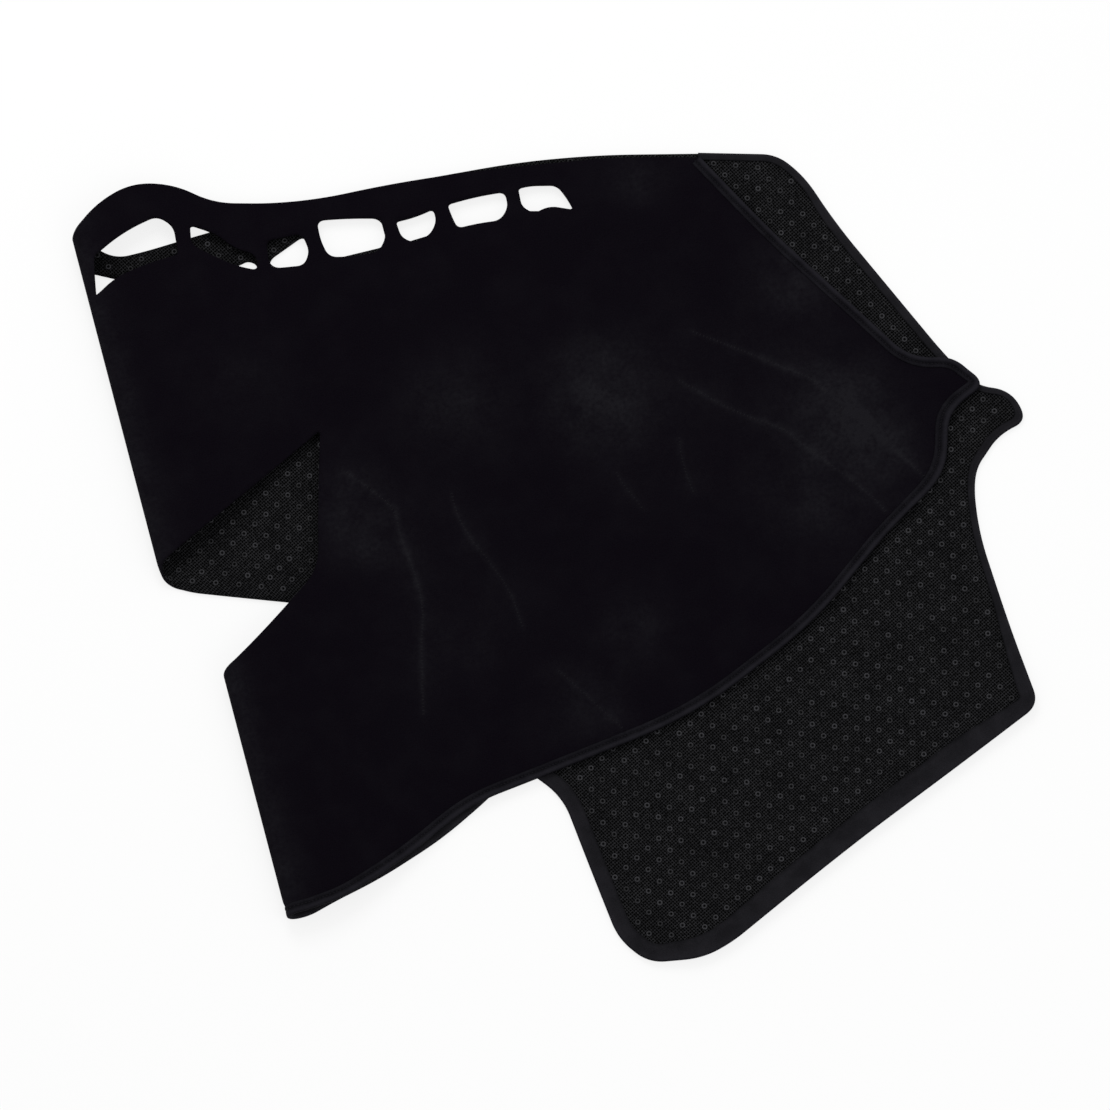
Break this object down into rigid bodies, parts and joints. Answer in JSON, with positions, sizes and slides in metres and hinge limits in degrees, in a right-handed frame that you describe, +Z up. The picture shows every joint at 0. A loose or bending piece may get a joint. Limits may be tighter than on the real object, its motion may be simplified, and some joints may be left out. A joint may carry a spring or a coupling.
{
  "type": "dashboard cover mat",
  "caption": "Folded pile mat for a car dashboard, with anti-slip mesh backing, bound edge, a row of vent cut-outs and a centre opening.",
  "frame": {"origin": "the middle of the folded mat's underside, on the surface that it lies on", "axes": "+Z up from the surface, +X along the folded mat's longest side away from the fold, +Y towards the windscreen edge"},
  "size_m": [0.7778, 0.6832, 0.0223],
  "materials": {
    "pile": "short dense black polyester pile, matt with a soft sheen",
    "backing": "fine dark grey anti-slip mesh with rows of small silicone rings",
    "binding": "black woven edge tape, satin"
  },
  "bodies": {
    "root": {"pile_face": "pile", "grip_backing": "backing", "edge_binding": "binding"}
  },
  "joints": []
}
